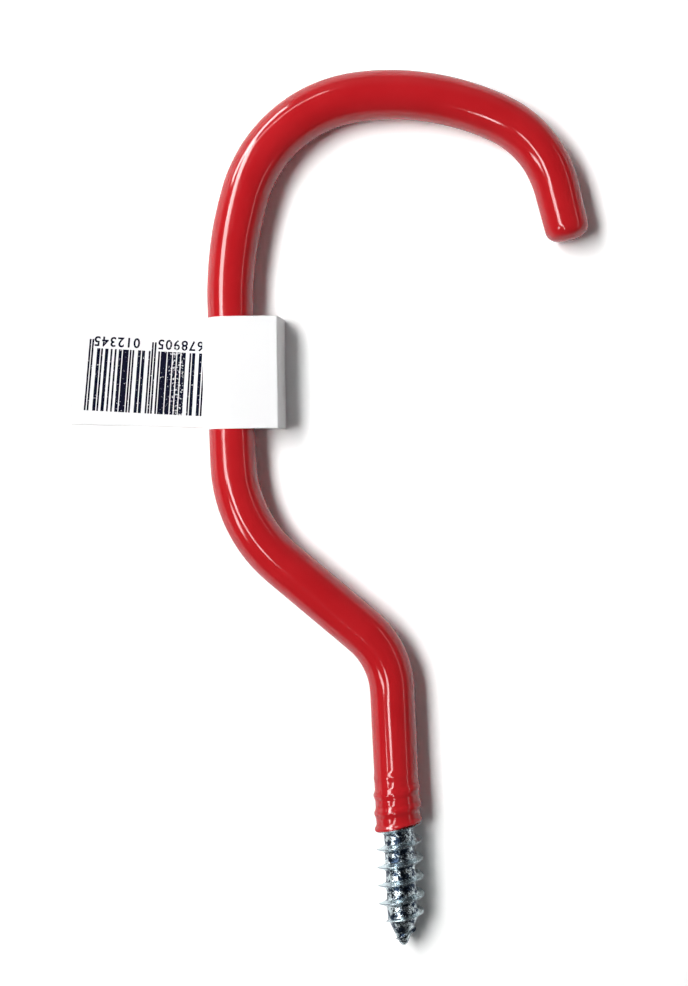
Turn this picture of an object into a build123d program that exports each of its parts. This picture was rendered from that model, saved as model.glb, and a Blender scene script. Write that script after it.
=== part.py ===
from build123d import *
from math import atan2, degrees, radians, tan
import os

# A vinyl-coated utility hook. It lies flat: the screw's axis is Y, with the tip at -Y, the bends
# are all in XY, and the mouth of the hook opens towards +X and -Y. The origin is on the screw's
# axis, where the bare thread leaves the coat. Millimetres and degrees.

# Steel rod
rod_diameter = 7.94
rod_end_chamfer = 1.0

# Screw thread, rolled on the end of the rod, right-handed
thread_bare = 24.0  # from the end of the coat to the tip
thread_covered = 11.7  # more of it, under the coat
thread_pitch = 3.6
thread_root_diameter = 6.0
thread_crest_diameter = 9.3
thread_crest_width = 0.22
thread_foot_width = 1.25
thread_full_covered = 1.4  # of the covered part is still at full height
thread_phase = 155.0  # where the full thread starts, turned from +Z towards +X
thread_buried = 0.3  # how far the ridge reaches below the root

# Gimlet point
point_length = 5.6  # the taper of the root
point_diameter = 1.2
point_thread_length = 6.8  # the taper of the crest
point_thread_diameter = 2.6
point_thread_start = 0.6  # from the tip
point_thread_share = 0.3  # of the full height, where the ridge starts

# Where the thread runs out into the rod
shoulder_length = 4.0
shoulder_margin = 2.0
runout_sink = 0.12  # the ridge ends this far below the rod's skin

# Bends, in order from the screw to the free end
lower_shank = 27.1
offset_turn = 47.4
offset_radius = 16.5
diagonal = 21.1
return_turn = 48.4
return_radius = 26.6
upper_shank = 31.5
shoulder_turn = 17.9
shoulder_radius = 73.4
crown_turn = 65.4
crown_radius = 27.1
brow_turn = 34.0
brow_radius = 50.1
nose_turn = 49.8
nose_radius = 21.3
free_end = 10.7

# Dipped vinyl coat
coat_diameter = 9.1
coat_dome_radius = 3.2
coat_end_wall = 1.0
rib_height = 0.38  # over the first covered turn, from where it fades out
rib_width = 2.7
rib_buried = 0.45  # how far a rib reaches below the coat's skin
rib_sink = 0.06

# Paper label, folded round the coat
paper_thickness = 0.15
label_width = 22.2
label_position = 17.7  # its middle, from the lower end of the upper shank
label_gap = 0.02
label_reach = 9.4  # the upper fold, from the rod's axis
label_splay = 1.3  # the lower fold lies this much further out
label_foot = 0.9  # the end that is stuck down on the flag, beyond the rod's side
flag_length = 33.0  # the printed end, from the rod's axis
flag_skew = 3.2

rod_radius = rod_diameter / 2
root_radius = thread_root_diameter / 2
crest_radius = thread_crest_diameter / 2
coat_radius = coat_diameter / 2
ridge_height = crest_radius - root_radius
tip_y = -thread_bare
full_thread_y = tip_y + point_thread_start + point_thread_length
os.makedirs("parts", exist_ok=True)


def centre_line(first_y, last_straight):
    """The axis of the bent rod, from first_y on the screw's axis to the free end."""
    bends = (
        (offset_turn, offset_radius, diagonal),
        (-return_turn, return_radius, upper_shank),
        (-shoulder_turn, shoulder_radius, 0),
        (-crown_turn, crown_radius, 0),
        (-brow_turn, brow_radius, 0),
        (-nose_turn, nose_radius, last_straight),
    )
    with BuildLine() as line:
        run = Line((0, first_y), (0, lower_shank))
        for turn, radius, straight in bends:
            run = JernArc(start=run @ 1, tangent=run % 1, radius=radius, arc_size=turn)
            if straight:
                run = Line(run @ 1, run @ 1 + (run % 1) * straight)
    return line.wire()


def free_face(builder, axis):
    """The flat face at the free end of a rod that was swept along axis."""
    return builder.faces().filter_by(GeomType.PLANE).sort_by_distance(axis @ 1)[0]


def section_plane(point):
    """The plane through the screw's axis and a point of a helix, with x outwards and y along +Y."""
    outward = Vector(point.X, 0, point.Z).normalized()
    return Plane(origin=point, x_dir=outward, z_dir=outward.cross(Vector(0, 1, 0)))


def phase_at(y):
    """How far the thread has turned at y, from +Z towards +X."""
    return thread_phase + 360 * (y - full_thread_y) / thread_pitch


def helix_run(radius, end_radius, start_y, length, direction=1):
    """One run of the thread's helix. It starts at +Z if it runs along +Y, and at -Z if along -Y."""
    return Helix(
        pitch=thread_pitch,
        height=length,
        radius=radius,
        center=(0, start_y, 0),
        direction=(0, direction, 0),
        cone_angle=degrees(atan2(end_radius - radius, length)),
    )


def ridge_profile(share=1.0):
    """The thread's blade: a trapezium from its crest, at x = 0, down to below the root."""
    depth = share * ridge_height + thread_buried
    flank = share * (thread_foot_width - thread_crest_width) / 2 / ridge_height
    half_crest = share * thread_crest_width / 2
    half_foot = half_crest + flank * depth
    return Polygon(
        (0, half_crest), (-depth, half_foot), (-depth, -half_foot), (0, -half_crest), align=None
    )


# %% Steel: one bar, bent, with the thread and the gimlet point rolled on its end
full_thread_length = thread_full_covered - full_thread_y
runout_length = thread_covered - thread_full_covered

with BuildPart() as full_thread:
    with BuildLine() as full_helix:
        helix_run(crest_radius, crest_radius, full_thread_y, full_thread_length)
    with BuildSketch(section_plane(full_helix.line @ 0)):
        ridge_profile()
    sweep(path=full_helix.line, is_frenet=True)

with BuildPart() as thread_runout:
    with BuildLine() as runout_helix:
        helix_run(crest_radius, rod_radius - runout_sink, thread_full_covered, runout_length)
    with BuildSketch(section_plane(runout_helix.line @ 0)):
        ridge_profile()
    sweep(path=runout_helix.line, is_frenet=True)

with BuildPart() as point_thread:
    with BuildLine() as point_helix:
        helix_run(crest_radius, point_thread_diameter / 2, full_thread_y, point_thread_length, -1)
    with BuildSketch(section_plane(point_helix.line @ 0)) as full_section:
        ridge_profile()
    with BuildSketch(section_plane(point_helix.line @ 1)) as first_section:
        ridge_profile(point_thread_share)
    sweep(
        sections=[full_section.sketch.face(), first_section.sketch.face()],
        path=point_helix.line,
        is_frenet=True,
        multisection=True,
    )

shoulder_y = thread_covered - shoulder_margin - shoulder_length
with BuildPart() as steel_hook:
    with BuildSketch():
        Polygon(
            (0, tip_y),
            (point_diameter / 2, tip_y),
            (root_radius, tip_y + point_length),
            (root_radius, shoulder_y),
            (rod_radius, shoulder_y + shoulder_length),
            (rod_radius, thread_covered),
            (0, thread_covered),
            align=None,
        )
    revolve(axis=Axis.Y)
    steel_axis = centre_line(thread_covered, free_end - coat_end_wall)
    with BuildSketch(Plane(origin=steel_axis @ 0, z_dir=steel_axis % 0)):
        Circle(rod_radius)
    sweep(path=steel_axis)
    chamfer(free_face(steel_hook, steel_axis).edges(), length=rod_end_chamfer)
    add(full_thread.part, rotation=(0, phase_at(full_thread_y), 0))
    add(thread_runout.part, rotation=(0, phase_at(thread_full_covered), 0))
    add(point_thread.part, rotation=(0, phase_at(full_thread_y) + 180, 0))
steel_hook.part.label = "steel_hook"
export_step(steel_hook.part, "parts/steel_hook.step")

# %% Coat: a dipped skin, which shows the covered turns as ribs and ends along the thread
end_slant = degrees(atan2(thread_pitch / 2, coat_diameter))
rib_y = -thread_pitch / 2 - thread_foot_width  # below the slanting end, which trims it
rib_length = thread_covered - rib_y

with BuildPart() as coat_rib:
    with BuildLine() as rib_helix:
        helix_run(coat_radius + rib_height, coat_radius - rib_sink, rib_y, rib_length)
    with BuildSketch(section_plane(rib_helix.line @ 0)):
        with BuildLine():
            foot = rib_height + rib_buried
            crown = ThreePointArc(
                (-rib_height, -rib_width / 2), (0, 0), (-rib_height, rib_width / 2)
            )
            Polyline(crown @ 1, (-foot, rib_width / 2), (-foot, -rib_width / 2), crown @ 0)
        make_face()
    sweep(path=rib_helix.line, is_frenet=True)

with BuildPart() as vinyl_coat:
    coat_axis = centre_line(rib_y, free_end)
    with BuildSketch(Plane(origin=coat_axis @ 0, z_dir=coat_axis % 0)):
        Circle(coat_radius)
    sweep(path=coat_axis)
    fillet(free_face(vinyl_coat, coat_axis).edges(), radius=coat_dome_radius)
    add(coat_rib.part, rotation=(0, phase_at(rib_y), 0))
    split(bisect_by=Plane.XZ.rotated((0, 0, end_slant)), keep=Keep.BOTTOM)
    add(steel_hook.part, mode=Mode.SUBTRACT)
vinyl_coat.part.label = "vinyl_coat"
export_step(vinyl_coat.part, "parts/vinyl_coat.step")

# %% Label: one strip that runs under the rod, folds up and back over it, and is stuck on itself
strip_radius = coat_radius + label_gap + paper_thickness / 2
fold_out = label_reach + label_splay
foot_end = strip_radius + label_foot
stuck_height = paper_thickness - strip_radius
shank_axis = centre_line(0, free_end).edges().filter_by(GeomType.LINE).sort_by(Axis.X)[0]
along = shank_axis % 0
across = along.cross(Vector(0, 0, 1))
label_middle = shank_axis @ 0 + along * label_position
flag_shift = (flag_length + fold_out) * tan(radians(flag_skew))

with BuildPart() as paper_label:
    with BuildSketch(Plane(origin=label_middle, x_dir=across, z_dir=-along)):
        with BuildLine():
            over = CenterArc((0, 0), strip_radius, start_angle=90, arc_size=90)
            Polyline(over @ 0, (label_reach, strip_radius), (fold_out, -strip_radius))
            Polyline(over @ 1, (-strip_radius, stuck_height), (-foot_end, stuck_height))
            offset(amount=paper_thickness / 2)
        make_face()
    extrude(amount=label_width / 2, both=True)
    flag_level = Vector(0, 0, -strip_radius - paper_thickness / 2)
    with BuildSketch(Plane(origin=label_middle + flag_level, x_dir=across)):
        Polygon(
            (fold_out, -label_width / 2),
            (fold_out, label_width / 2),
            (-flag_length, label_width / 2 + flag_shift),
            (-flag_length, -label_width / 2 + flag_shift),
            align=None,
        )
    extrude(amount=paper_thickness)
paper_label.part.label = "paper_label"
export_step(paper_label.part, "parts/paper_label.step")
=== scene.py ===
# %% [markdown]
# # A vinyl-coated wall hook
# A steel bar with a wood-screw thread on one end is bent into a crank and a crook, dipped in red
# vinyl and tagged with a strip of white paper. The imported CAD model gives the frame: metres, the
# screw's axis on Y, the tip at -Y, all bends in the XY plane. Every surface below is worked out
# in that frame, so nothing is ever moved into place afterwards.

import math

import bmesh
import bpy
import numpy as np
from mathutils import Matrix, Vector


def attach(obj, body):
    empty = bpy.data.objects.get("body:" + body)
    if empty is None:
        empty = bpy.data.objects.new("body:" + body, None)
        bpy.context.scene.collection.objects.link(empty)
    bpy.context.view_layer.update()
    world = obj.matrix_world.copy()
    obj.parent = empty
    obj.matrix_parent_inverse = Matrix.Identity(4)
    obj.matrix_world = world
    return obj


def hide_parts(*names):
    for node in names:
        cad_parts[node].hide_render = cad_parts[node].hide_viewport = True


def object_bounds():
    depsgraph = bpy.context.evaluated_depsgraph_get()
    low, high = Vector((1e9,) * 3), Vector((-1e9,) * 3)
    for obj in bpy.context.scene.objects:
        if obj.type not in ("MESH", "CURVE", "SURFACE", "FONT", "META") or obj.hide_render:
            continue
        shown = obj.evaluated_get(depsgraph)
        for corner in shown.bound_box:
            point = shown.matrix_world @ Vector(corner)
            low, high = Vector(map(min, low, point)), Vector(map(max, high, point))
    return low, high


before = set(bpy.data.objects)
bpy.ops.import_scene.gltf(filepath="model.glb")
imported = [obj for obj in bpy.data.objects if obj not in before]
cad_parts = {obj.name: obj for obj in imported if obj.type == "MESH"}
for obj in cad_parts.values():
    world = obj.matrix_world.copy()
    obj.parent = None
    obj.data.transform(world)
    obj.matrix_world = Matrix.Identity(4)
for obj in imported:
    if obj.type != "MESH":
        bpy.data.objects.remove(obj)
cad_low, cad_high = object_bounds()
MM = 0.001
TAU = 2 * math.pi
print("CAD box in mm:", [round(v / MM, 2) for v in (*cad_low, *cad_high)])

# %% [markdown]
# ## The line that the rod follows
# The bar was straight before it was bent, so the simplest description of it is its axis: a list of
# bends, each a turn at a radius and then a straight run. The heading changes at a steady rate
# through a bend, so the position has a closed formula and no points need to be stored.

# %% The runs of the axis
LOWER_SHANK = 27.1 * MM
BENDS = (  # turn in degrees, to the left if positive; radius; straight run after it
    (47.4, 16.5 * MM, 21.1 * MM),
    (-48.4, 26.6 * MM, 31.5 * MM),
    (-17.9, 73.4 * MM, 0.0),
    (-65.4, 27.1 * MM, 0.0),
    (-34.0, 50.1 * MM, 0.0),
    (-49.8, 21.3 * MM, 10.7 * MM),
)


def moved(x, y, heading, bend, distance):
    """The place and the heading after a distance along one run.

    In a bend of curvature k the heading grows by k times the distance, and the position is the
    centre of the bend plus the radius turned through that heading."""
    after = heading + bend * distance
    if bend:
        x = x + (np.cos(after) - np.cos(heading)) / bend
        y = y + (np.sin(after) - np.sin(heading)) / bend
    else:
        x, y = x - np.sin(heading) * distance, y + np.cos(heading) * distance
    return x, y, after


def axis_runs():
    """The runs, each as (start, curvature, x, y, heading), and the distance to the free end."""
    pieces = [(LOWER_SHANK, 0.0)]
    for turn, radius, straight in BENDS:
        length = math.radians(abs(turn)) * radius
        pieces += [(length, math.copysign(1 / radius, turn)), (straight, 0.0)]
    runs, start, place = [], 0.0, (0.0, 0.0, 0.0)
    for length, bend in pieces:
        if length:
            runs.append((start, bend, *place))
            start, place = start + length, moved(*place, bend, length)
    return runs, start


RUNS, ROD_END = axis_runs()
print("rod from the coat's end to its free end:", round(ROD_END / MM, 1), "mm")

# %% [markdown]
# ## A bar that was bent by hand
# The bar was pulled round its pegs by hand, so it strays from true arcs and straights by a few
# tenths of a millimetre. A few broad bell curves say how far. Their slope turns the rod's sections
# too, so that these stay square to its axis.

# %% The rod's axis
SWELLS = (  # size, to the right if positive; middle; reach
    (-0.30 * MM, 92 * MM, 11 * MM),
    (0.22 * MM, 136 * MM, 26 * MM),
    (-0.20 * MM, 205 * MM, 14 * MM),
)
UP = np.array([0.0, 0.0, 1.0])


def bell(s, size, middle, reach):
    """A bell curve: size times e to the power of minus the square of (s - middle) / reach."""
    return size * np.exp(-(((s - middle) / reach) ** 2))


def strayed(s):
    """How far the bar strays to the right of its bends, and its slope there."""
    stray, slope = np.zeros_like(s), np.zeros_like(s)
    for size, middle, reach in SWELLS:
        swell = bell(s, size, middle, reach)
        stray, slope = stray + swell, slope - 2 * (s - middle) / reach**2 * swell
    return stray, slope


def rod_axis(s):
    """Position of the axis and unit vector to its right, at each distance s from the origin."""
    s = np.asarray(s, float)
    x, y, heading = np.zeros_like(s), s.copy(), np.zeros_like(s)
    for start, bend, *place in RUNS[1:]:
        here = s >= start
        run = moved(*place, bend, np.where(here, s - start, 0.0))
        x, y, heading = (np.where(here, new, old) for new, old in zip(run, (x, y, heading)))
    stray, slope = strayed(s)
    x, y = x + stray * np.cos(heading), y + stray * np.sin(heading)
    heading, flat = heading - np.arctan(slope), np.zeros_like(s)
    return np.stack([x, y, flat], -1), np.stack([np.cos(heading), np.sin(heading), flat], -1)


def round_the_rod(s, turn, radius):
    """Points round the axis: it plus radius times (the rightward vector times sin(turn), plus up
    times cos(turn))."""
    centre, right = rod_axis(s)
    outward = np.sin(turn)[..., None] * right + np.cos(turn)[..., None] * UP
    return centre + radius[..., None] * outward


strays = strayed(np.linspace(0, ROD_END, 200))[0] / MM
print("the bar strays from", round(strays.min(), 2), "to", round(strays.max(), 2), "mm")

# %% [markdown]
# ## Turning a grid of points into a mesh
# Each piece is a sheet of points with two parameters. Neighbours in the grid make the faces, and a
# direction that comes back to its start, such as once round the rod, joins its last row to its
# first. Welding then closes the poles, where a whole row of points is in one place.

# %% Mesh helper
WELD = 0.001 * MM  # points closer than this are one


def grid_faces(rows, columns, closed=True, shift=0):
    """Faces between neighbours of a grid; if it is closed, the last column is joined to the first.

    The seam joins row i to row i + shift."""
    i, j = np.meshgrid(np.arange(rows - 1), np.arange(columns - (not closed)), indexing="ij")
    beside = i + np.where(j == columns - 1, shift, 0)
    k = (j + 1) % columns
    corners = ((i, j), (beside, k), (beside + 1, k), (i + 1, j))
    return np.stack([row * columns + column for row, column in corners], -1)[beside + 1 < rows]


def as_piece(name, mesh, material, weld=0.0, shortest=0.0):
    """The mesh as an object that rides on the one body, with its outside outwards.

    Points nearer to each other than weld are merged, and edges under shortest are taken out."""
    shell = bmesh.new()
    shell.from_mesh(mesh)
    if weld:
        bmesh.ops.remove_doubles(shell, verts=shell.verts, dist=weld)
    if shortest:
        bmesh.ops.dissolve_degenerate(shell, edges=shell.edges, dist=shortest)
    bmesh.ops.recalc_face_normals(shell, faces=shell.faces)
    open_edges = sum(1 for edge in shell.edges if len(edge.link_faces) != 2)
    shell.to_mesh(mesh)
    shell.free()
    mesh.materials.clear()
    mesh.materials.append(material)
    piece = bpy.data.objects.new(name, mesh)
    bpy.context.scene.collection.objects.link(piece)
    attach(piece, "root")
    print(name, len(mesh.polygons), "faces,", open_edges, "open edges")
    return piece


def make_piece(name, points, faces, material, smooth=True, weld=0.0):
    """A piece with these points and faces."""
    mesh = bpy.data.meshes.new(name)
    mesh.from_pydata(points.reshape(-1, 3), [], faces.reshape(-1, faces.shape[-1]).tolist())
    piece = as_piece(name, mesh, material, weld, shortest=weld)
    mesh.polygons.foreach_set("use_smooth", [smooth] * len(mesh.polygons))
    return piece


print("a closed grid of 3 rows and 8 columns has", len(grid_faces(3, 8)), "faces")

# %% [markdown]
# ## Writing a finish as sums
# A node finish is a formula over the surface. It could be drawn by hand in the node editor, but a
# small class that wraps a socket lets it be written as plain sums and products, which read like the
# formula. Every other node comes from one call.

# %% Finish helper
class Signal:
    """One socket of a node tree that can be added, multiplied and so on, as a number can."""

    def __init__(self, finish, socket):
        self.finish, self.socket = finish, socket

    def _sum(self, operation, left, right):
        return self.finish.node("ShaderNodeMath", {"operation": operation}, [left, right])

    def __add__(self, other): return self._sum("ADD", self, other)
    def __radd__(self, other): return self._sum("ADD", other, self)
    def __sub__(self, other): return self._sum("SUBTRACT", self, other)
    def __rsub__(self, other): return self._sum("SUBTRACT", other, self)
    def __mul__(self, other): return self._sum("MULTIPLY", self, other)
    def __rmul__(self, other): return self._sum("MULTIPLY", other, self)
    def __truediv__(self, other): return self._sum("DIVIDE", self, other)
    def __pow__(self, other): return self._sum("POWER", self, other)


class Finish:
    """A material, or the world, that is written node by node."""

    def __init__(self, name, owner=None):
        self.owner = owner or bpy.data.materials.new(name)
        self.owner.use_nodes = True
        self.tree = self.owner.node_tree
        self.tree.nodes.clear()

    def node(self, kind, settings=None, values=None, out=0):
        """Adds a node, sets its settings and then its sockets, and returns an output, or several.

        values is a list in the order of the sockets, or a dict by their names or numbers."""
        node = self.tree.nodes.new(kind)
        for key, value in (settings or {}).items():
            setattr(node, key, value)
        pairs = enumerate(values) if isinstance(values, list) else (values or {}).items()
        for key, value in pairs:
            socket = node.inputs[key]
            if isinstance(value, Signal):
                self.tree.links.new(value.socket, socket)
            elif isinstance(value, tuple) and len(socket.default_value) == 4:
                socket.default_value = (*value, 1.0)
            else:
                socket.default_value = value
        if isinstance(out, tuple):
            return [Signal(self, node.outputs[name]) for name in out]
        return Signal(self, node.outputs[out]) if node.outputs else None

    def place(self):
        """Where on the piece each point is, in metres."""
        return self.node("ShaderNodeTexCoord", out="Object")

    def split(self, vector):
        """A vector's x, y and z."""
        return self.node("ShaderNodeSeparateXYZ", None, [vector], out=("X", "Y", "Z"))

    def length(self, vector):
        """How long a vector is."""
        return self.node("ShaderNodeVectorMath", {"operation": "LENGTH"}, [vector], out="Value")

    def blend(self, share, first, second):
        """A colour between two colours."""
        sockets = {0: share, 6: first, 7: second}  # a Mix node has several named A and B
        return self.node("ShaderNodeMix", {"data_type": "RGBA"}, sockets, out=2)

    def steps(self, value, low, high):
        """0 below low, 1 above high and a smooth rise between."""
        smooth = {"interpolation_type": "SMOOTHSTEP"}
        return self.node("ShaderNodeMapRange", smooth, [value, low, high, 0.0, 1.0])

    def noise(self, place, scale, detail=2.0, rough=0.5):
        """Cloudy noise from 0 to 1, in features per metre."""
        sockets = {"Vector": place, "Scale": scale, "Detail": detail, "Roughness": rough}
        return self.node("ShaderNodeTexNoise", None, sockets)

    def bump(self, strength, distance, height):
        """A normal that tilts as if the surface rose by the distance times the height."""
        sockets = {"Strength": strength, "Distance": distance, "Height": height}
        return self.node("ShaderNodeBump", None, sockets)

    def ray_kinds(self):
        """1 or 0 for a ray from the camera, for one off gloss and for one through glass."""
        kinds = ("Is Camera Ray", "Is Glossy Ray", "Is Transmission Ray")
        return self.node("ShaderNodeLightPath", out=kinds)

    def surface(self, sockets):
        """The finish of a solid surface, with these sockets set or linked."""
        return self.end(self.node("ShaderNodeBsdfPrincipled", None, sockets))

    def end(self, shader):
        """Joins the last shader to the output."""
        world = isinstance(self.owner, bpy.types.World)
        self.node("ShaderNodeOutputWorld" if world else "ShaderNodeOutputMaterial", None, [shader])
        print("finish", self.owner.name, "has", len(self.tree.nodes), "nodes")
        return self.owner


# %% [markdown]
# ## The vinyl
# Plastisol that was dipped and cured is a deep, even red with a wet gloss. A plain red with an even
# gloss would look like glass, because the real skin flowed as it set and highlights waver slightly
# along it. So clouds of noise stir the colour, the height and the sharpness of the gloss.

# %% Red vinyl
DEEP_RED, BRIGHT_RED = (0.47, 0.010, 0.0145), (0.51, 0.0135, 0.0185)
CLOUDS, RIPPLES, SMEARS = 90.0, 900.0, 400.0  # features per metre


def red_vinyl():
    """Two reds blended by broad noise; height is broad noise plus 0.3 of fine noise."""
    finish = Finish("red_vinyl")
    place = finish.place()
    clouds, ripples = finish.noise(place, CLOUDS, 3.0), finish.noise(place, RIPPLES, 3.0)
    return finish.surface({
        "Base Color": finish.blend(finish.steps(clouds, 0.3, 0.75), DEEP_RED, BRIGHT_RED),
        "Roughness": 0.05 + 0.07 * finish.noise(place, SMEARS, 4.0),
        "IOR": 1.50,
        "Normal": finish.bump(0.25, 0.06 * MM, clouds + ripples * 0.3),
    })


VINYL = red_vinyl()

# %% [markdown]
# ## The zinc
# Electroplated zinc is bright and slightly blue. The rolled thread under it is never polished, so
# the plating reflects its surroundings in small broken patches. A bump alone doesn't give them, so
# their colour is darker too: a painted reflection of dim surroundings, and on the core between the
# blades also painted shade. The flanks of the blade stay bright, and its rim is darkened with
# painted shade. The distance from the screw's axis tells these apart, so no mask has to be drawn.

# %% Bright zinc plate
# The dark plate colour is a painted reflection, with painted shade on the core; the rim colour is
# painted shade.
BRIGHT_PLATE, PAINTED_DARK_REFLECTION, PAINTED_RIM_SHADE = (0.66, 0.75, 0.78), (0.020, 0.034, 0.060), (0.05, 0.07, 0.09)
CORE_EDGE = (3.1 * MM, 3.7 * MM)  # from the axis: the patches fade out between these
RIM_EDGE = (4.45 * MM, 4.65 * MM)  # and the rim's painted shade sets in between these
PATCHES, GRAIN = 850.0, 3200.0  # features per metre


def bright_zinc():
    """Painted dark reflection where the patches' noise is low and the distance from the axis small,
    and painted shade on the blade's rim.
    """
    finish = Finish("bright_zinc")
    place = finish.place()
    patches, grain = finish.noise(place, PATCHES, 4.0, 0.6), finish.noise(place, GRAIN)
    flat = finish.node("ShaderNodeVectorMath", {"operation": "MULTIPLY"}, [place, (1.0, 0.0, 1.0)])
    radius = finish.length(flat)
    on_core = 1 - finish.steps(radius, *CORE_EDGE)
    # Painted dark reflection on the core, which also stands for painted shade between the blades.
    painted_dark = on_core * (1 - finish.steps(patches + (grain - 0.5) * 0.5, 0.46, 0.60))
    plate = finish.blend(painted_dark, BRIGHT_PLATE, PAINTED_DARK_REFLECTION)
    return finish.surface({
        # The rim's darker colour is painted shade.
        "Base Color": finish.blend(finish.steps(radius, *RIM_EDGE) * 0.6, plate, PAINTED_RIM_SHADE),
        "Metallic": 1.0,
        "Roughness": 0.16 + 0.2 * grain,
        "Normal": finish.bump(0.8, 0.20 * MM, patches * (0.25 + 0.75 * on_core) + grain * 0.2),
    })


ZINC = bright_zinc()

# %% [markdown]
# ## Paper and ink
# The tag is coated label paper: white, almost matt, with a fine tooth. The thermal print on it is a
# blue-black that has faded in one band, where the ribbon missed. The print is a finish of its own,
# for shapes that lie on the paper, because printed edges stay sharper as shapes than as a texture.

# %% Label paper and print
PAPER_WHITE, PALE_WHITE, BLUE_BLACK = (0.86, 0.86, 0.87), (0.90, 0.90, 0.90), (0.003, 0.003, 0.016)
TONE, TOOTH, FLECKS = 60.0, 2500.0, 2200.0  # features per metre
FADED_MIDDLE = -40.5 * MM
FADED_REACH = (0.8 * MM, 2.2 * MM)  # from the middle of the faded band: worst within, sound beyond


def white_paper():
    """Two whites blended by broad noise, with a fine bump."""
    finish = Finish("white_paper")
    place = finish.place()
    tooth = finish.noise(place, TOOTH, 4.0)
    return finish.surface({
        "Base Color": finish.blend(finish.noise(place, TONE), PAPER_WHITE, PALE_WHITE),
        "Roughness": 0.62,
        "Normal": finish.bump(0.15, 0.03 * MM, tooth),
    })


def blue_black_ink():
    """Ink that gives way to paper where the noise is above a limit, which is lower in the band."""
    finish = Finish("blue_black_ink")
    place = finish.place()
    x, _, _ = finish.split(place)
    from_band = finish.node("ShaderNodeMath", {"operation": "ABSOLUTE"}, [x - FADED_MIDDLE])
    over = finish.noise(place, FLECKS, 3.0) - (0.56 + 0.08 * finish.steps(from_band, *FADED_REACH))
    worn = finish.node("ShaderNodeMath", {"operation": "MULTIPLY", "use_clamp": True}, [over, 14.0])
    return finish.surface({
        "Base Color": finish.blend(worn * 0.8, BLUE_BLACK, PAPER_WHITE),
        "Roughness": 0.6,
        "Specular IOR Level": 0.06,
    })


PAPER, PRINT = white_paper(), blue_black_ink()

# %% [markdown]
# ## The steel with its rolled thread
# Seen round the axis, a thread is the same blade again and again, moved on by one pitch each turn.
# A Screw modifier could turn one profile into a thread, but not into a point and a run-out. A plain
# grid round the screw would cut across the blade and leave its crest ragged. Here the rows follow
# the blade instead: one parameter runs round and round the screw, the other crosses from one blade
# to the next, and the seam joins each turn to the one after it.

# %% The thread's shape
TIP = -24.0 * MM
PITCH = 3.6 * MM
ROOT, CREST, ROD = 3.0 * MM, 4.65 * MM, 3.97 * MM
FULL_THREAD = -16.6 * MM  # the blade is at its full height from here
THREAD_PHASE = math.radians(155)  # and is turned this far from up there
COVERED = 11.7 * MM
BLADE = (  # y and radius of the crest: it grows, stays level and sinks into the rod under the coat
    (TIP, 0.0),
    (TIP + 0.6 * MM, 1.3 * MM),
    (FULL_THREAD, CREST),
    (1.4 * MM, CREST),
    (COVERED, ROD - 0.12 * MM),
)
CORE = ((TIP, 0.6 * MM), (TIP + 5.6 * MM, ROOT), (5.7 * MM, ROOT), (9.7 * MM, ROD))
NOSE_LENGTH = 0.5 * MM
HALF_CREST, HALF_FOOT = 0.06 * MM, 0.80 * MM
HOLLOW = 1.3  # the power that hollows the flanks
LEAST_SHARE = 0.05  # keeps the blade's width above zero where its height is nothing


def read_off(table, s):
    """The value at s on the straight lines between the (place, value) pairs of a table."""
    return np.interp(s, *np.transpose(table))


def steel_radius(y, away):
    """The core's radius plus the blade: level over its crest, then a hollow flank down to the core.

    The core is read off its table, times a square root that rounds the nose, and away is the
    distance along the axis from the blade's middle."""
    core = np.sqrt(np.clip((y - TIP) / NOSE_LENGTH, 0, 1)) * read_off(CORE, y)
    crest = read_off(BLADE, y)
    share = np.clip((crest - core) / (CREST - ROOT), LEAST_SHARE, 1)
    rise = np.clip((HALF_FOOT * share - away) / (HALF_FOOT * share - HALF_CREST * share), 0, 1)
    return core + np.clip(crest - core, 0, None) * rise**HOLLOW


def from_blade(s, turn):
    """How far along the axis each place round the screw is from the middle of the nearest blade."""
    on = (s - FULL_THREAD) / PITCH - (turn - THREAD_PHASE) / TAU
    return np.abs(on - np.round(on)) * PITCH


print("turns of thread, bare and covered:", round(-TIP / PITCH, 1), round(COVERED / PITCH, 1))

# %% Steel bar and screw
COLUMNS = 96
AROUND = TAU * np.arange(COLUMNS) / COLUMNS  # the turn of each column
END_WALL = 1.0 * MM  # of vinyl, over the bar's free end
CHAMFER = 1.0 * MM
RING_STEP = 2 * MM
HALF_ROWS = (  # shares of a pitch from a blade's middle, closer together over the blade
    0, 0.019, 0.035, 0.053, 0.075, 0.10, 0.127, 0.158, 0.195, 0.25, 0.33, 0.42, 0.5,
)


def screw_surface():
    """The grid that follows the blade, squeezed flat at the tip and at the covered end.

    Its rows are at the half rows' shares of a pitch on both sides of each blade."""
    across = np.concatenate([HALF_ROWS, 1 - np.array(HALF_ROWS[-2:0:-1])])
    first = FULL_THREAD - PITCH * math.ceil((FULL_THREAD - TIP) / PITCH + 1)
    turns = math.ceil((COVERED - first) / PITCH) + 1
    row = (np.arange(turns)[:, None] + across).reshape(-1, 1)
    share = np.arange(COLUMNS) / COLUMNS
    turn = THREAD_PHASE + AROUND
    s = np.clip(first + PITCH * (row + share), TIP, COVERED)
    points = round_the_rod(s, turn, steel_radius(s, from_blade(s, turn)))
    return points, grid_faces(len(row), COLUMNS, shift=len(across))


def rod_surface():
    """The rod's own rings, from the covered end to a chamfer and a pole at its free end."""
    end = ROD_END - END_WALL
    rings = np.arange(COVERED, end - CHAMFER, RING_STEP)
    s = np.concatenate([rings, [end - CHAMFER, end, end]])[:, None]
    radius = np.concatenate([np.full(len(rings) + 1, ROD), [ROD - CHAMFER, 0]])[:, None]
    return round_the_rod(s, THREAD_PHASE + AROUND, radius), grid_faces(len(s), COLUMNS)


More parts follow.
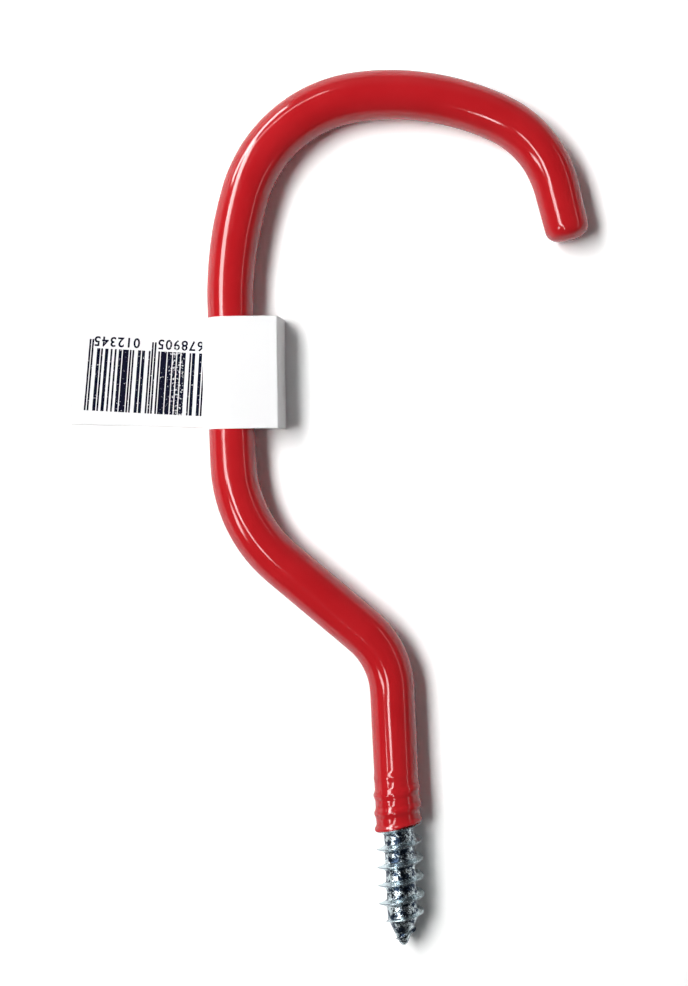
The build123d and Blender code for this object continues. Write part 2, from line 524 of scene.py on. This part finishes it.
(screw, screw_faces), (rod, rod_faces) = screw_surface(), rod_surface()
points = np.concatenate([screw, rod])
faces = np.concatenate([screw_faces, rod_faces + len(screw) * COLUMNS])
steel = make_piece("steel_bar_and_screw", points, faces, ZINC, weld=WELD)
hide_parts("steel_hook")

# %% [markdown]
# ## The dipped coat
# Vinyl follows what it is dipped over, a little rounded. So its skin is a tube round the same axis
# whose radius changes: ribs where turns of thread lie under it, a bead round the lip, more vinyl on
# the outside of the crook, where it ran before it set, and a flattened dome over the cut end. The
# ribs follow the blade below them, and they fade out with it.

# %% The coat's thickness
LIP_SLANT = 0.9 * MM
LIP_WAVES = ((0.10 * MM, 3, 0.6), (0.05 * MM, 7, 0.0))  # height, waves round the rod, start
RIB_HEIGHT = ((-1 * MM, 0.36 * MM), (4 * MM, 0.32 * MM), (9 * MM, 0.18 * MM), (COVERED, 0.0))
RIB_WAVES = ((0.18, 2, 1.3 * MM), (0.10, 5, -0.8 * MM))  # share, waves round the rod, drift
RIB_NARROW, RIB_ROUND = 1.25, 1.3
SKIN = (  # distance along the axis and radius, in millimetres
    (-3, 4.50), (10, 4.45), (26, 4.50), (40, 4.80), (60, 4.82), (72, 4.76), (90, 4.61), (114, 4.61),
    (130, 4.82), (158, 4.86), (172, 4.86), (182, 4.80), (200, 4.70), (215, 4.62), (225, 4.42),
    (240, 4.38),
)
SAG = (0.16 * MM, 172 * MM, 22 * MM)  # size, middle and reach of the bell curve
BEAD_SIZE, BEAD_MIDDLE, BEAD_REACH = 0.16 * MM, 0.45 * MM, 0.5 * MM


def lip(turn):
    """Where the coat ends: low on the left, high on the right, with a slightly uneven edge."""
    waves = (size * np.sin(count * turn + start) for size, count, start in LIP_WAVES)
    return LIP_SLANT * np.sin(turn) + sum(waves)


def rib(s, turn):
    """A rounded rib over each covered turn of the blade, which fades with the thread under it.

    It is half a cosine wave to a power, across the blade, times a height that wavers."""
    across = np.clip(from_blade(s, turn) / (PITCH / 2) * RIB_NARROW, 0, 1)
    waver = sum(share * np.sin(turn * count + s / drift) for share, count, drift in RIB_WAVES)
    crown = (0.5 + 0.5 * np.cos(math.pi * across)) ** RIB_ROUND
    return read_off(RIB_HEIGHT, s) * (1 + waver) * crown


def skin_radius(s, turn):
    """The bar under its vinyl, read off the table, plus the sag, the lip's bead and the ribs."""
    sag = bell(s, *SAG) * (0.5 - 0.5 * np.sin(turn)) ** 2
    bead = bell(s - lip(turn), BEAD_SIZE, BEAD_MIDDLE, BEAD_REACH)
    return read_off(np.array(SKIN) * MM, s) + sag + bead + rib(s, turn)


skin_sizes = [radius for _, radius in SKIN]
print("the skin's radius is", min(skin_sizes), "to", max(skin_sizes), "mm")

# %% Vinyl coat
LIP_ROUND = 0.42 * MM
RIBS_END = 14 * MM
DOME, FLATNESS = 3.2 * MM, 0.8
LIP_RINGS, RIB_RINGS, DOME_RINGS, THREAD_RINGS = 8, 110, 15, 60
SKIN_STEP = 1 * MM


def coat_outside(turn, edge):
    """Rings from the rounded lip along the skin to the dome, as distances and radii.

    The lip is a quarter of a circle. So is the dome, with its sine and cosine raised to a power."""
    angle = np.linspace(0, math.pi / 2, LIP_RINGS)[:, None]
    lip_s = edge + LIP_ROUND * (1 - np.cos(angle))
    lip_r = skin_radius(lip_s, turn) - LIP_ROUND * (1 - np.sin(angle))
    share = np.linspace(0, 1, RIB_RINGS)[1:, None]
    ribs_s = (edge + LIP_ROUND) * (1 - share) + RIBS_END * share
    tube_s = np.arange(RIBS_END + SKIN_STEP, ROD_END - DOME, SKIN_STEP)[:, None] + 0 * turn
    angle = np.linspace(0, math.pi / 2, DOME_RINGS)[:, None] + 0 * turn
    dome_s = ROD_END - DOME * (1 - np.sin(angle) ** FLATNESS)
    dome_r = skin_radius(ROD_END - DOME, turn) * np.clip(np.cos(angle), 0, None) ** FLATNESS
    s = np.concatenate([lip_s, ribs_s, tube_s, dome_s])
    r = np.concatenate([lip_r, skin_radius(ribs_s, turn), skin_radius(tube_s, turn), dome_r])
    return s, r


def coat_inside(turn, edge, lip_radius):
    """Rings on the steel's own surface, from its free end back to the lip."""
    bar_end = ROD_END - END_WALL
    rings = np.arange(bar_end - CHAMFER, COVERED, -RING_STEP)
    bar_s = np.concatenate([[bar_end, bar_end], rings])[:, None] + 0 * turn
    bar_r = np.concatenate([[0, ROD - CHAMFER], np.full(len(rings), ROD)])[:, None] + 0 * turn
    share = np.linspace(0, 1, THREAD_RINGS)[:, None]
    thread_s = COVERED * (1 - share) + edge * share
    thread_r = np.minimum(steel_radius(thread_s, from_blade(thread_s, turn)), lip_radius)
    return np.concatenate([bar_s, thread_s]), np.concatenate([bar_r, thread_r])


def coat_surface():
    """The outside and the inside as one shell, closed by a band of faces across the lip."""
    turn = AROUND[None, :]
    edge = lip(turn)
    outer_s, outer_r = coat_outside(turn, edge)
    inner_s, inner_r = coat_inside(turn, edge, outer_r[0])
    here = np.arange(COLUMNS)
    after = (here + 1) % COLUMNS
    last = (len(outer_s) + len(inner_s) - 1) * COLUMNS
    faces = [
        grid_faces(len(outer_s), COLUMNS),
        grid_faces(len(inner_s), COLUMNS) + len(outer_s) * COLUMNS,
        np.stack([last + here, last + after, after, here], -1),
    ]
    s, r = np.concatenate([outer_s, inner_s]), np.concatenate([outer_r, inner_r])
    return round_the_rod(s, turn, r), np.concatenate(faces)


points, faces = coat_surface()
coat = make_piece("vinyl_skin", points, faces, VINYL, weld=WELD)
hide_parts("vinyl_coat")

# %% [markdown]
# ## The folded tag
# One strip of label paper runs under the rod, turns up beyond it, comes back over it, goes down its
# left side and is stuck to itself. Seen from its end it is a single line, so that line is laid out
# first, with its corners softened, and then carried across the width of the strip. A Solidify
# modifier gives it the paper's thickness. The strip was wrapped a little askew, so the part of it
# that lies under the rod drifts along the rod towards its printed end.

# %% The tag's own axes
LABEL_WIDTH = 22.2 * MM
LABEL_PLACE = 18.15 * MM  # its middle, from the lower end of the upper shank
SHANK_START = RUNS[4][0]  # the upper shank is the fifth run
label_edges = SHANK_START + LABEL_PLACE + np.array([-0.5, 0.5]) * LABEL_WIDTH
lower_edge, upper_edge = rod_axis(label_edges)[0]
shank_middle = (lower_edge + upper_edge) / 2
shank_along = (upper_edge - lower_edge) / np.linalg.norm(upper_edge - lower_edge)
shank_right = np.array([shank_along[1], -shank_along[0], 0])


def on_label(u, w, z):
    """The tag's middle plus u to the right of the rod's axis, w along it and z upwards."""
    across = u[..., None] * shank_right + w[..., None] * shank_along
    return shank_middle + across + z[..., None] * UP


print("the tag's middle in mm:", (shank_middle / MM).round(2))

# %% The strip's line
PAPER_THICKNESS = 0.15 * MM
WRAP = 4.645 * MM  # from the rod's axis to the middle of the paper
REACH, SPLAY, FOOT = 9.4 * MM, 1.3 * MM, 1.4 * MM
FLAG = 33.0 * MM
CURL_START, CURL = 14 * MM, 0.3 * MM
FOLD, FOOT_FOLD, FOOT_TOP = 0.18 * MM, 0.6 * MM, -0.2 * MM
EDGE_ROW, FIRST_ROW = 0.06 * MM, 1 * MM  # from the cut end; the first keeps it crisp
FLAG_ROWS, OVER_ROWS, FOLD_ROWS = 60, 16, 7
LEG_SHARE = 0.45  # a rounded corner takes up this much of a leg at most
LINE_STEP = 0.12 * MM


def softened(corners, radius):
    """A bent line with its inner corners rounded: a point slides off one leg as it joins the next.

    That is (1 - t) squared times one end, plus 2 t (1 - t) times the corner, plus t squared times
    the other end."""
    corners = [np.array(corner, float) for corner in corners]
    line = [corners[0]]
    t = np.linspace(0, 1, FOLD_ROWS)[:, None]
    for before, corner, after in zip(corners, corners[1:], corners[2:]):
        legs = before - corner, after - corner
        reach = min(radius, *(LEG_SHARE * np.linalg.norm(leg) for leg in legs))
        a, b = (corner + leg / np.linalg.norm(leg) * reach for leg in legs)
        line += list((1 - t) ** 2 * a + 2 * t * (1 - t) * corner + t**2 * b)
    return np.array(line + [corners[-1]])


def evenly(line, step):
    """The same bent line with a point about every step along it, so that each fold stays crisp."""
    at = np.concatenate([[0], np.cumsum(np.linalg.norm(np.diff(line, axis=0), axis=1))])
    even = np.linspace(0, at[-1], math.ceil(at[-1] / step) + 1)
    return np.stack([np.interp(even, at, line[:, k]) for k in (0, 1)], -1)


def flag_lift(u):
    """The printed end isn't stuck to anything: it curls up, by the square of the way along it."""
    return CURL * np.clip((-u - CURL_START) / (FLAG - CURL_START), 0, 1) ** 2


def label_line():
    """The strip's line as (u, z), from the printed end to the stuck one, and the flag's rows."""
    under = -WRAP
    rows = np.linspace(FIRST_ROW - FLAG, REACH, FLAG_ROWS)
    flag_u = np.concatenate([[-FLAG, EDGE_ROW - FLAG], rows])
    flag = np.stack([flag_u, under + flag_lift(flag_u)], -1)
    stuck = under + PAPER_THICKNESS
    turn = np.radians(np.linspace(0, 90, OVER_ROWS))
    over = np.stack([-WRAP * np.sin(turn), WRAP * np.cos(turn)], -1)
    folds = softened([(REACH, under), (REACH + SPLAY, under), (REACH, WRAP), (0, WRAP)], FOLD)
    foot = softened([(-WRAP, FOOT_TOP), (-WRAP, stuck), (-WRAP - FOOT, stuck)], FOOT_FOLD)
    bent = evenly(np.concatenate([folds, over, foot]), LINE_STEP)
    return np.concatenate([flag, bent[1:]]), len(flag)


LINE, FLAG_COUNT = label_line()
laid_flat = np.linalg.norm(np.diff(LINE, axis=0), axis=1).sum()
print("the strip laid flat:", round(laid_flat / MM, 1), "by", round(LABEL_WIDTH / MM, 1), "mm")

# %% Label paper
SKEW = math.tan(math.radians(2.2))
# Rows of points close to both edges keep these crisp.
WIDTH_SHARES = np.concatenate([[-0.5, -0.497], np.linspace(-0.46, 0.46, 11), [0.497, 0.5]])


def label_surface():
    """The line carried across the strip's width; its flag drifts along the rod with its length."""
    u, w = np.meshgrid(LINE[:, 0], WIDTH_SHARES * LABEL_WIDTH, indexing="ij")
    on_flag = np.arange(len(LINE))[:, None] < FLAG_COUNT
    drift = np.where(on_flag, (REACH - u) * SKEW, 0)
    return on_label(u, w + drift, np.broadcast_to(LINE[:, 1:], u.shape))


faces = grid_faces(len(LINE), len(WIDTH_SHARES), closed=False)
label = make_piece("folded_label", label_surface(), faces, PAPER)
thickness = label.modifiers.new("paper thickness", "SOLIDIFY")
thickness.thickness, thickness.offset = PAPER_THICKNESS, 0
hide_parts("paper_label")

# %% [markdown]
# ## Printed bars
# A retail code is two kinds of stripe: three thin guard pairs, and between them a pattern of four
# widths for each digit. The digits here only count up, as on a sample sheet, and end in the check
# digit that belongs to them. Each stripe is a thin closed block of ink on the paper, so it needs no
# image and its edges stay sharp at any distance.

# %% The pattern of stripes
DIGITS = "012345678905"
# For each digit from 0 to 9: how many modules wide its four stripes are, by turns light and dark.
WIDTHS = ("3211", "2221", "2122", "1411", "1132", "1231", "1114", "1312", "1213", "3112")
SIDE_GUARD, MIDDLE_GUARD = "101", "01010"  # one module each, dark where it says 1


def stripes():
    """(start, width, is a guard) of every dark stripe in modules, from the left."""
    found, at = [], 0
    for guard, digits in ((SIDE_GUARD, DIGITS[:6]), (MIDDLE_GUARD, DIGITS[6:]), (SIDE_GUARD, "")):
        for bit in guard:
            if bit == "1":
                found.append((at, 1, True))
            at += 1
        for digit in digits:
            dark = False
            for width in map(int, WIDTHS[int(digit)]):
                if dark:
                    found.append((at, width, False))
                at, dark = at + width, not dark
    return np.array(found, float)


print(len(stripes()), "dark stripes in the whole pattern")

# %% Bars
MODULE = 0.279 * MM
BAR_HEIGHT, GUARD_HEIGHT = 12.7 * MM, 14.5 * MM
INK_THICKNESS, INK_SPREAD = 0.012 * MM, 0.045 * MM
ROW_SLOPE = math.tan(math.radians(1.4))
LEAN = math.tan(math.radians(5.6))
LEAN_FALL = math.tan(math.radians(1.8)) / (26 * MM)  # over most of the row
PRINT_LEFT, PRINT_FOOT = -30.2 * MM, -8.23 * MM
PRINT_RIGHT = -WRAP - FOOT + 0.3 * MM  # the strip's foot covers the rest
CORNERS = np.array([(0, 0), (1, 0), (1, 1), (0, 1)] * 2).T  # of a block, across and up, in shares
SIDES = np.array(
    [[0, 3, 2, 1], [4, 5, 6, 7], [0, 1, 5, 4], [1, 2, 6, 5], [2, 3, 7, 6], [3, 0, 4, 7]]
)


def print_place(a, b):
    """The printed frame: a along the row, which falls a little, and b up the stripes, which lean.

    The paper slewed under the print head, so the lean falls off from one end of the row to the
    other."""
    u = PRINT_LEFT + a + b * (LEAN - LEAN_FALL * a)
    return u, PRINT_FOOT - a * ROW_SLOPE + b + (REACH - u) * SKEW


def on_paper(u):
    """The height of the flag's upper side."""
    return -WRAP + PAPER_THICKNESS / 2 + flag_lift(u)


def bar_blocks():
    """Eight corners and six faces for each stripe that isn't under the rod."""
    start, width, guard = stripes().T
    left, right = start * MODULE - INK_SPREAD, (start + width) * MODULE + INK_SPREAD
    shown = PRINT_LEFT + right < PRINT_RIGHT
    left, right, guard = left[shown, None], right[shown, None], guard[shown, None]
    across, up = CORNERS
    a = np.where(across > 0, right, left)
    b = up * np.where(guard > 0, GUARD_HEIGHT, BAR_HEIGHT)
    u, w = print_place(a, b)
    z = on_paper(u) + np.repeat([0, 1], 4) * INK_THICKNESS
    return on_label(u, w, z), SIDES + 8 * np.arange(len(u))[:, None, None]


points, faces = bar_blocks()
bars = make_piece("printed_bars", points, faces, PRINT, smooth=False)

# %% [markdown]
# ## Printed numbers
# The numbers under the stripes are ordinary type. A text object could be turned and placed as it
# is, but the flag curls and its print leans. So the text is made a mesh first, and then each of its
# points is laid on the flag by the same formula as the stripes, upside down as the tag hangs.

# %% Numbers
TYPE_SIZE, TYPE_SPACING, TYPE_BOLDER = 2.75 * MM, 1.18, 0.06 * MM
TYPE_GAP = 0.55 * MM
TYPE_STEPS = 4  # few straight steps in each curve keep the bolder outline from crossing itself
TYPE_WELD = 0.0005 * MM


def type_mesh(text):
    """The text as a thin closed mesh about its own middle."""
    curve = bpy.data.curves.new("type", "FONT")
    curve.body, curve.size, curve.align_x = text, TYPE_SIZE, "CENTER"
    curve.space_character, curve.offset, curve.resolution_u = TYPE_SPACING, TYPE_BOLDER, TYPE_STEPS
    curve.extrude = INK_THICKNESS / 2
    holder = bpy.data.objects.new("type", curve)
    bpy.context.scene.collection.objects.link(holder)
    bpy.context.view_layer.update()
    mesh = bpy.data.meshes.new_from_object(holder)
    bpy.data.objects.remove(holder)
    return mesh


def printed_number(text, middle):
    """Type turned half round, with its middle at this module of the code."""
    mesh = type_mesh(text)
    flat = np.empty(len(mesh.vertices) * 3)
    mesh.vertices.foreach_get("co", flat)
    x, y, z = flat.reshape(-1, 3).T
    u, w = print_place(middle * MODULE - x, GUARD_HEIGHT + TYPE_GAP - y)
    points = on_label(u, w, on_paper(u) + INK_THICKNESS / 2 + z)
    mesh.vertices.foreach_set("co", points.reshape(-1))
    piece = as_piece("printed_number_" + text, mesh, PRINT, weld=TYPE_WELD)


for text, middle in ((DIGITS[:6], 20), (DIGITS[6:], 67)):  # middles in modules
    printed_number(text, middle)

# %% [markdown]
# ## The table under it
# The hook lies on a plain white sheet, which keeps its soft shadow. The light of a small lamp on a
# sheet falls away from its foot: it is divided by the square of 1 + (distance / height) squared.
# Camera rays see the sheet brighter by that same square, and a little brighter than the lamps make
# it, so that it reads as an even white. A stronger lamp would do that too, but it would bleach the
# hook.

# %% Floor
KEY_HEIGHT = 0.6
SHEET, SHEET_SEEN = 0.80, 1.20  # the sheet's own white, and the white that the camera sees
FLOOR_GAP, FLOOR_HALF = 0.01 * MM, 2.0


def white_sheet():
    """One grey level: the sheet's own for light that bounces, and white for what is seen."""
    finish = Finish("white_sheet")
    camera, gloss, through = finish.ray_kinds()
    away = finish.length(finish.place())
    white = SHEET_SEEN * (1 + (away / KEY_HEIGHT) ** 2) ** 2
    level = SHEET + camera * (white - SHEET) + (gloss + through) * (1 - SHEET)
    colour = finish.node("ShaderNodeCombineColor", None, [level, level, level])
    return finish.end(finish.node("ShaderNodeBsdfDiffuse", None, {"Color": colour}))


floor_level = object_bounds()[0][2] - FLOOR_GAP
floor_corners = [
    (x * FLOOR_HALF, y * FLOOR_HALF, floor_level) for x, y in ((-1, -1), (1, -1), (1, 1), (-1, 1))
]
mesh = bpy.data.meshes.new("floor")
mesh.from_pydata(floor_corners, [], [(0, 1, 2, 3)])
mesh.materials.append(white_sheet())
floor = bpy.data.objects.new("floor", mesh)
bpy.context.scene.collection.objects.link(floor)

# %% [markdown]
# ## Light
# A wide soft lamp, up and to the left, gives the shapes and the shadow, and a weak one low on the
# right keeps the shaded side from going black. Gloss needs something narrower to show. A whole
# modelled room would give that, but plain panels are easier to place, so a few long ones that only
# gloss can see stand further off. A strip that runs past the left of the hook draws the wide
# streak, a bent tube nearer overhead draws the thin ones on the lower shank and the nose, and one
# line on the right adds a fine one.

# %% Lamps
FILL_HEIGHT, PANEL_HEIGHT = 0.3, 3.0
SOFT_LAMPS = (  # name, height, ends and width of the lamp across for each metre up, radiance
    ("soft_key", KEY_HEIGHT, (-0.54, -0.20), (-0.62, 0.80), 0.38, 15.0),
    ("low_fill", FILL_HEIGHT, (3.20, -0.70), (3.20, 0.90), 0.60, 1.8),
)
GLOSS_PANELS = (  # name, ends and width of the panel across for each metre up, radiance
    ("strip_near", (-1.24, -0.62), (-0.94, -0.26), 0.20, 13.0),
    ("strip_low", (-0.78, -0.02), (-0.93, 0.12), 0.22, 12.0),
    ("strip_middle", (-0.93, 0.12), (-1.06, 0.58), 0.44, 13.0),
    ("strip_far", (-1.06, 0.58), (-1.40, 1.25), 0.40, 17.0),
    ("strip_last", (-1.40, 1.25), (-2.60, 2.50), 0.34, 19.0),
    ("strip_rim", (-3.90, 2.20), (-2.10, 4.00), 0.80, 17.0),
    ("strip_end", (-1.20, 1.20), (-0.22, 1.14), 0.05, 18.0),
    ("tube_near", (-0.27, -0.64), (-0.27, -0.48), 0.12, 15.0),
    ("tube_bend", (-0.29, -0.26), (-0.46, -0.14), 0.10, 13.0),
    ("tube_end", (-0.44, -0.13), (-0.74, 0.00), 0.13, 15.0),
    ("line_right", (1.62, -0.80), (1.75, 1.30), 0.035, 9.0),
)
object_middle = (Vector(cad_low) + Vector(cad_high)) / 2


def lamp(name, height, start, end, width, radiance):
    """A long flat lamp that faces the hook, between two points at this height over its middle.

    Its power is the radiance times pi times its area."""
    start, end = (object_middle + Vector((x, y, 1.0)) * height for x, y in (start, end))
    along = (end - start).normalized()
    way = (start + end) / 2 - object_middle
    way = (way - along * way.dot(along)).normalized()
    light = bpy.data.lights.new(name, "AREA")
    light.shape, light.size, light.size_y = "RECTANGLE", width * height, (end - start).length
    light.energy = radiance * math.pi * light.size * light.size_y
    facing = Matrix((along.cross(way), along, way)).transposed().to_4x4()
    holder = bpy.data.objects.new(name, light)
    holder.matrix_world = Matrix.Translation((start + end) / 2) @ facing
    bpy.context.scene.collection.objects.link(holder)
    return holder


for settings in SOFT_LAMPS:
    lamp(*settings).visible_glossy = False
for name, *rest in GLOSS_PANELS:
    lamp(name, PANEL_HEIGHT, *rest).visible_diffuse = False
print(len(SOFT_LAMPS), "soft lamps and", len(GLOSS_PANELS), "panels for gloss")

# %% [markdown]
# ## The room
# The rest of the room is dim, and a little paler on three sides, low down. The camera sees white
# there, and gloss sees that white only as a narrow band beyond the far edge of the sheet.

# %% Room
ROOM_DIM, ROOM_RIGHT, ROOM_FAR, ROOM_NEAR = 0.04, 0.07, 0.22, 0.06
SIDE_EDGE = (0.45, 1.0)  # of a direction's part towards a side: the side's light sets in between
BAND_EDGE = (0.04, 0.09)  # of a direction's rise: the white band fades out between these


def dim_room():
    """Light from each direction: a low level everywhere, plus a share for each of three sides."""
    room = Finish("room", bpy.context.scene.world or bpy.data.worlds.new("room"))
    x, y, z = room.split(room.node("ShaderNodeTexCoord", out="Generated"))
    right, far, near = (room.steps(side, *SIDE_EDGE) for side in (x, y, 0 - y))
    level = ROOM_DIM + ROOM_RIGHT * right + ROOM_FAR * far + ROOM_NEAR * near
    soft, white = (
        room.node("ShaderNodeBackground", None, {"Color": (1.0, 1.0, 1.0), "Strength": strength})
        for strength in (level, 1.0)
    )
    camera, gloss, through = room.ray_kinds()
    seen = camera + (gloss + through) * (1 - room.steps(z, *BAND_EDGE))
    return room.end(room.node("ShaderNodeMixShader", None, [seen, soft, white]))


bpy.context.scene.world = dim_room()
bpy.context.scene.view_settings.view_transform = "Standard"

# %% [markdown]
# ## Camera
# The camera looks straight down from a third of a metre, turned slightly on its own axis. A longer
# lens from further off would flatten the hook, so the lens is worked out from that height and the
# length of table that it should show.

# %% Camera
CAMERA_HEIGHT = 350 * MM
CAMERA_X, CAMERA_Y = -7.81 * MM, 66.88 * MM
CAMERA_TURN = math.radians(-2.66)
VIEW_LENGTH = 197.2 * MM
camera = bpy.data.cameras.new("camera")
camera.sensor_width = 36.0
camera.lens = camera.sensor_width * CAMERA_HEIGHT / VIEW_LENGTH
camera.clip_start, camera.clip_end = 0.01, 10.0
viewer = bpy.data.objects.new("camera", camera)
viewer.location = (CAMERA_X, CAMERA_Y, CAMERA_HEIGHT)
viewer.rotation_euler = (0, 0, CAMERA_TURN)
bpy.context.scene.collection.objects.link(viewer)
bpy.context.scene.camera = viewer
print("lens:", round(camera.lens, 1), "mm")

# %% Last update of the scene
bpy.context.view_layer.update()
